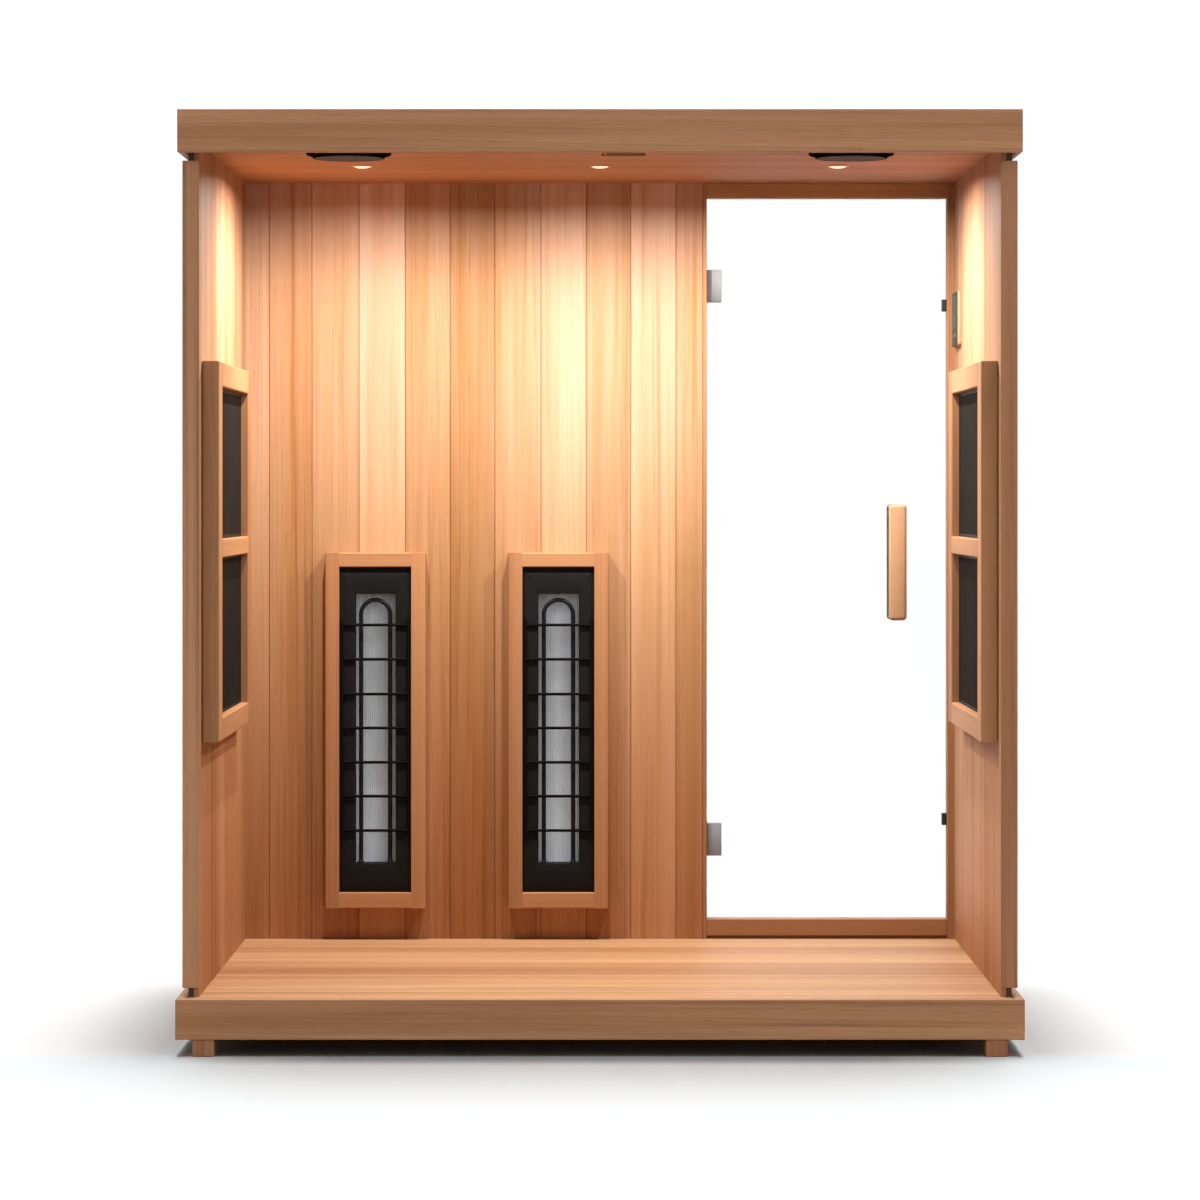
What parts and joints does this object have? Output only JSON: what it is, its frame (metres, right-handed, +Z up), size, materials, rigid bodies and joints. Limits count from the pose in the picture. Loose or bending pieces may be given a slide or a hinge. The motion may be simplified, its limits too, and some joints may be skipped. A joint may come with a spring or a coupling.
{
  "type": "infrared sauna cabin",
  "caption": "Cedar infrared sauna cabin, open at the rear, with a swinging frameless glass door, framed wall heaters, ceiling speakers, downlights, roof vent and wall control panel.",
  "frame": {"origin": "centre of the overall box on the ground, under the feet", "axes": "+Z up, +Y from the open rear towards the door wall, +X to the right when looking in through the open rear"},
  "size_m": [1.748, 1.232, 1.95],
  "materials": {
    "cedar_trim": "oiled, brown cedar boards",
    "cedar_interior": "sanded, unvarnished cedar boards",
    "cedar_exterior": "sanded, oiled cedar boards",
    "cedar_floor": "sanded cedar floor boards",
    "cedar_ceiling": "sanded cedar boards",
    "wall_core": "dark core and stud wood",
    "door_frame_wood": "sanded cedar",
    "heater_frame_wood": "sanded cedar",
    "handle_wood": "smooth oiled wood",
    "heater_black": "satin black powder coat",
    "element_black": "black tube",
    "reflector_grey": "ribbed grey sheet",
    "carbon_panel": "dark grey woven carbon laminate",
    "door_glass": "clear tempered glass",
    "hinge_steel": "brushed",
    "catch_black": "matte black",
    "speaker_black": "black rim, dark grey grille",
    "downlight": "warm white lamp in a bezel",
    "vent_wood": "sanded cedar",
    "control_face": "satin dark olive, darker display window",
    "button_grey": "dark warm grey",
    "power_box": "grey powder coat"
  },
  "bodies": {
    "cabin": {"base_frame": "cedar_trim", "foot_rear_left": "cedar_trim", "foot_rear_right": "cedar_trim", "foot_front_left": "cedar_trim", "foot_front_right": "cedar_trim", "roof_fascia_rear": "cedar_trim", "roof_fascia_front": "cedar_trim", "roof_fascia_left": "cedar_trim", "roof_fascia_right": "cedar_trim", "floor_joist_left": "wall_core", "floor_joist_right": "wall_core", "left_wall_frame": "wall_core", "right_wall_frame": "wall_core", "front_wall_core": "wall_core", "floor_deck": "cedar_floor", "left_wall_inner_cladding": "cedar_interior", "right_wall_inner_cladding": "cedar_interior", "front_wall_inner_cladding": "cedar_interior", "left_wall_outer_cladding": "cedar_exterior", "right_wall_outer_cladding": "cedar_exterior", "front_wall_outer_cladding": "cedar_exterior", "door_frame": "door_frame_wood", "roof_panel": "cedar_ceiling", "vent_frame": "vent_wood", "power_unit": "power_box", "speaker_left": "speaker_black", "speaker_right": "speaker_black", "downlight_left": "downlight", "downlight_centre": "downlight", "downlight_right": "downlight", "front_heater_left_frame": "heater_frame_wood", "side_heater_left_frame": "heater_frame_wood", "front_heater_left_housing": "heater_black", "front_heater_left_guard": "heater_black", "front_heater_left_reflector": "reflector_grey", "front_heater_left_element": "element_black", "side_heater_left_upper_panel": "carbon_panel", "side_heater_left_lower_panel": "carbon_panel", "front_heater_right_frame": "heater_frame_wood", "side_heater_right_frame": "heater_frame_wood", "front_heater_right_housing": "heater_black", "front_heater_right_guard": "heater_black", "front_heater_right_reflector": "reflector_grey", "front_heater_right_element": "element_black", "side_heater_right_upper_panel": "carbon_panel", "side_heater_right_lower_panel": "carbon_panel", "upper_hinge_bracket": "hinge_steel", "lower_hinge_bracket": "hinge_steel", "upper_door_catch": "catch_black", "lower_door_catch": "catch_black", "control_panel": "control_face"},
    "door": {"door_glass": "door_glass", "upper_hinge_clamp": "hinge_steel", "lower_hinge_clamp": "hinge_steel", "door_handle_inner": "handle_wood", "door_handle_outer": "handle_wood"},
    "vent_shutter": {"vent_slider": "vent_wood"},
    "power_key": {"power_button": "button_grey"},
    "light_key": {"light_button": "button_grey"},
    "heat_key": {"heat_button": "button_grey"}
  },
  "joints": [
    {"name": "door_swing", "type": "hinge", "parent": "cabin", "child": "door", "pos_m": [0.2505, 0.5825, 1], "axis": [0, 0, 1], "range_deg": [0, 100]},
    {"name": "vent_slide", "type": "slide", "parent": "cabin", "child": "vent_shutter", "axis": [1, 0, 0], "range_m": [0, 0.083]},
    {"name": "power_press", "type": "slide", "parent": "cabin", "child": "power_key", "axis": [1, 0, 0], "range_m": [0, 0.001], "stiffness_N_per_m": 600, "springref_m": -0.001},
    {"name": "light_press", "type": "slide", "parent": "cabin", "child": "light_key", "axis": [1, 0, 0], "range_m": [0, 0.001], "stiffness_N_per_m": 600, "springref_m": -0.001},
    {"name": "heat_press", "type": "slide", "parent": "cabin", "child": "heat_key", "axis": [1, 0, 0], "range_m": [0, 0.001], "stiffness_N_per_m": 600, "springref_m": -0.001}
  ]
}
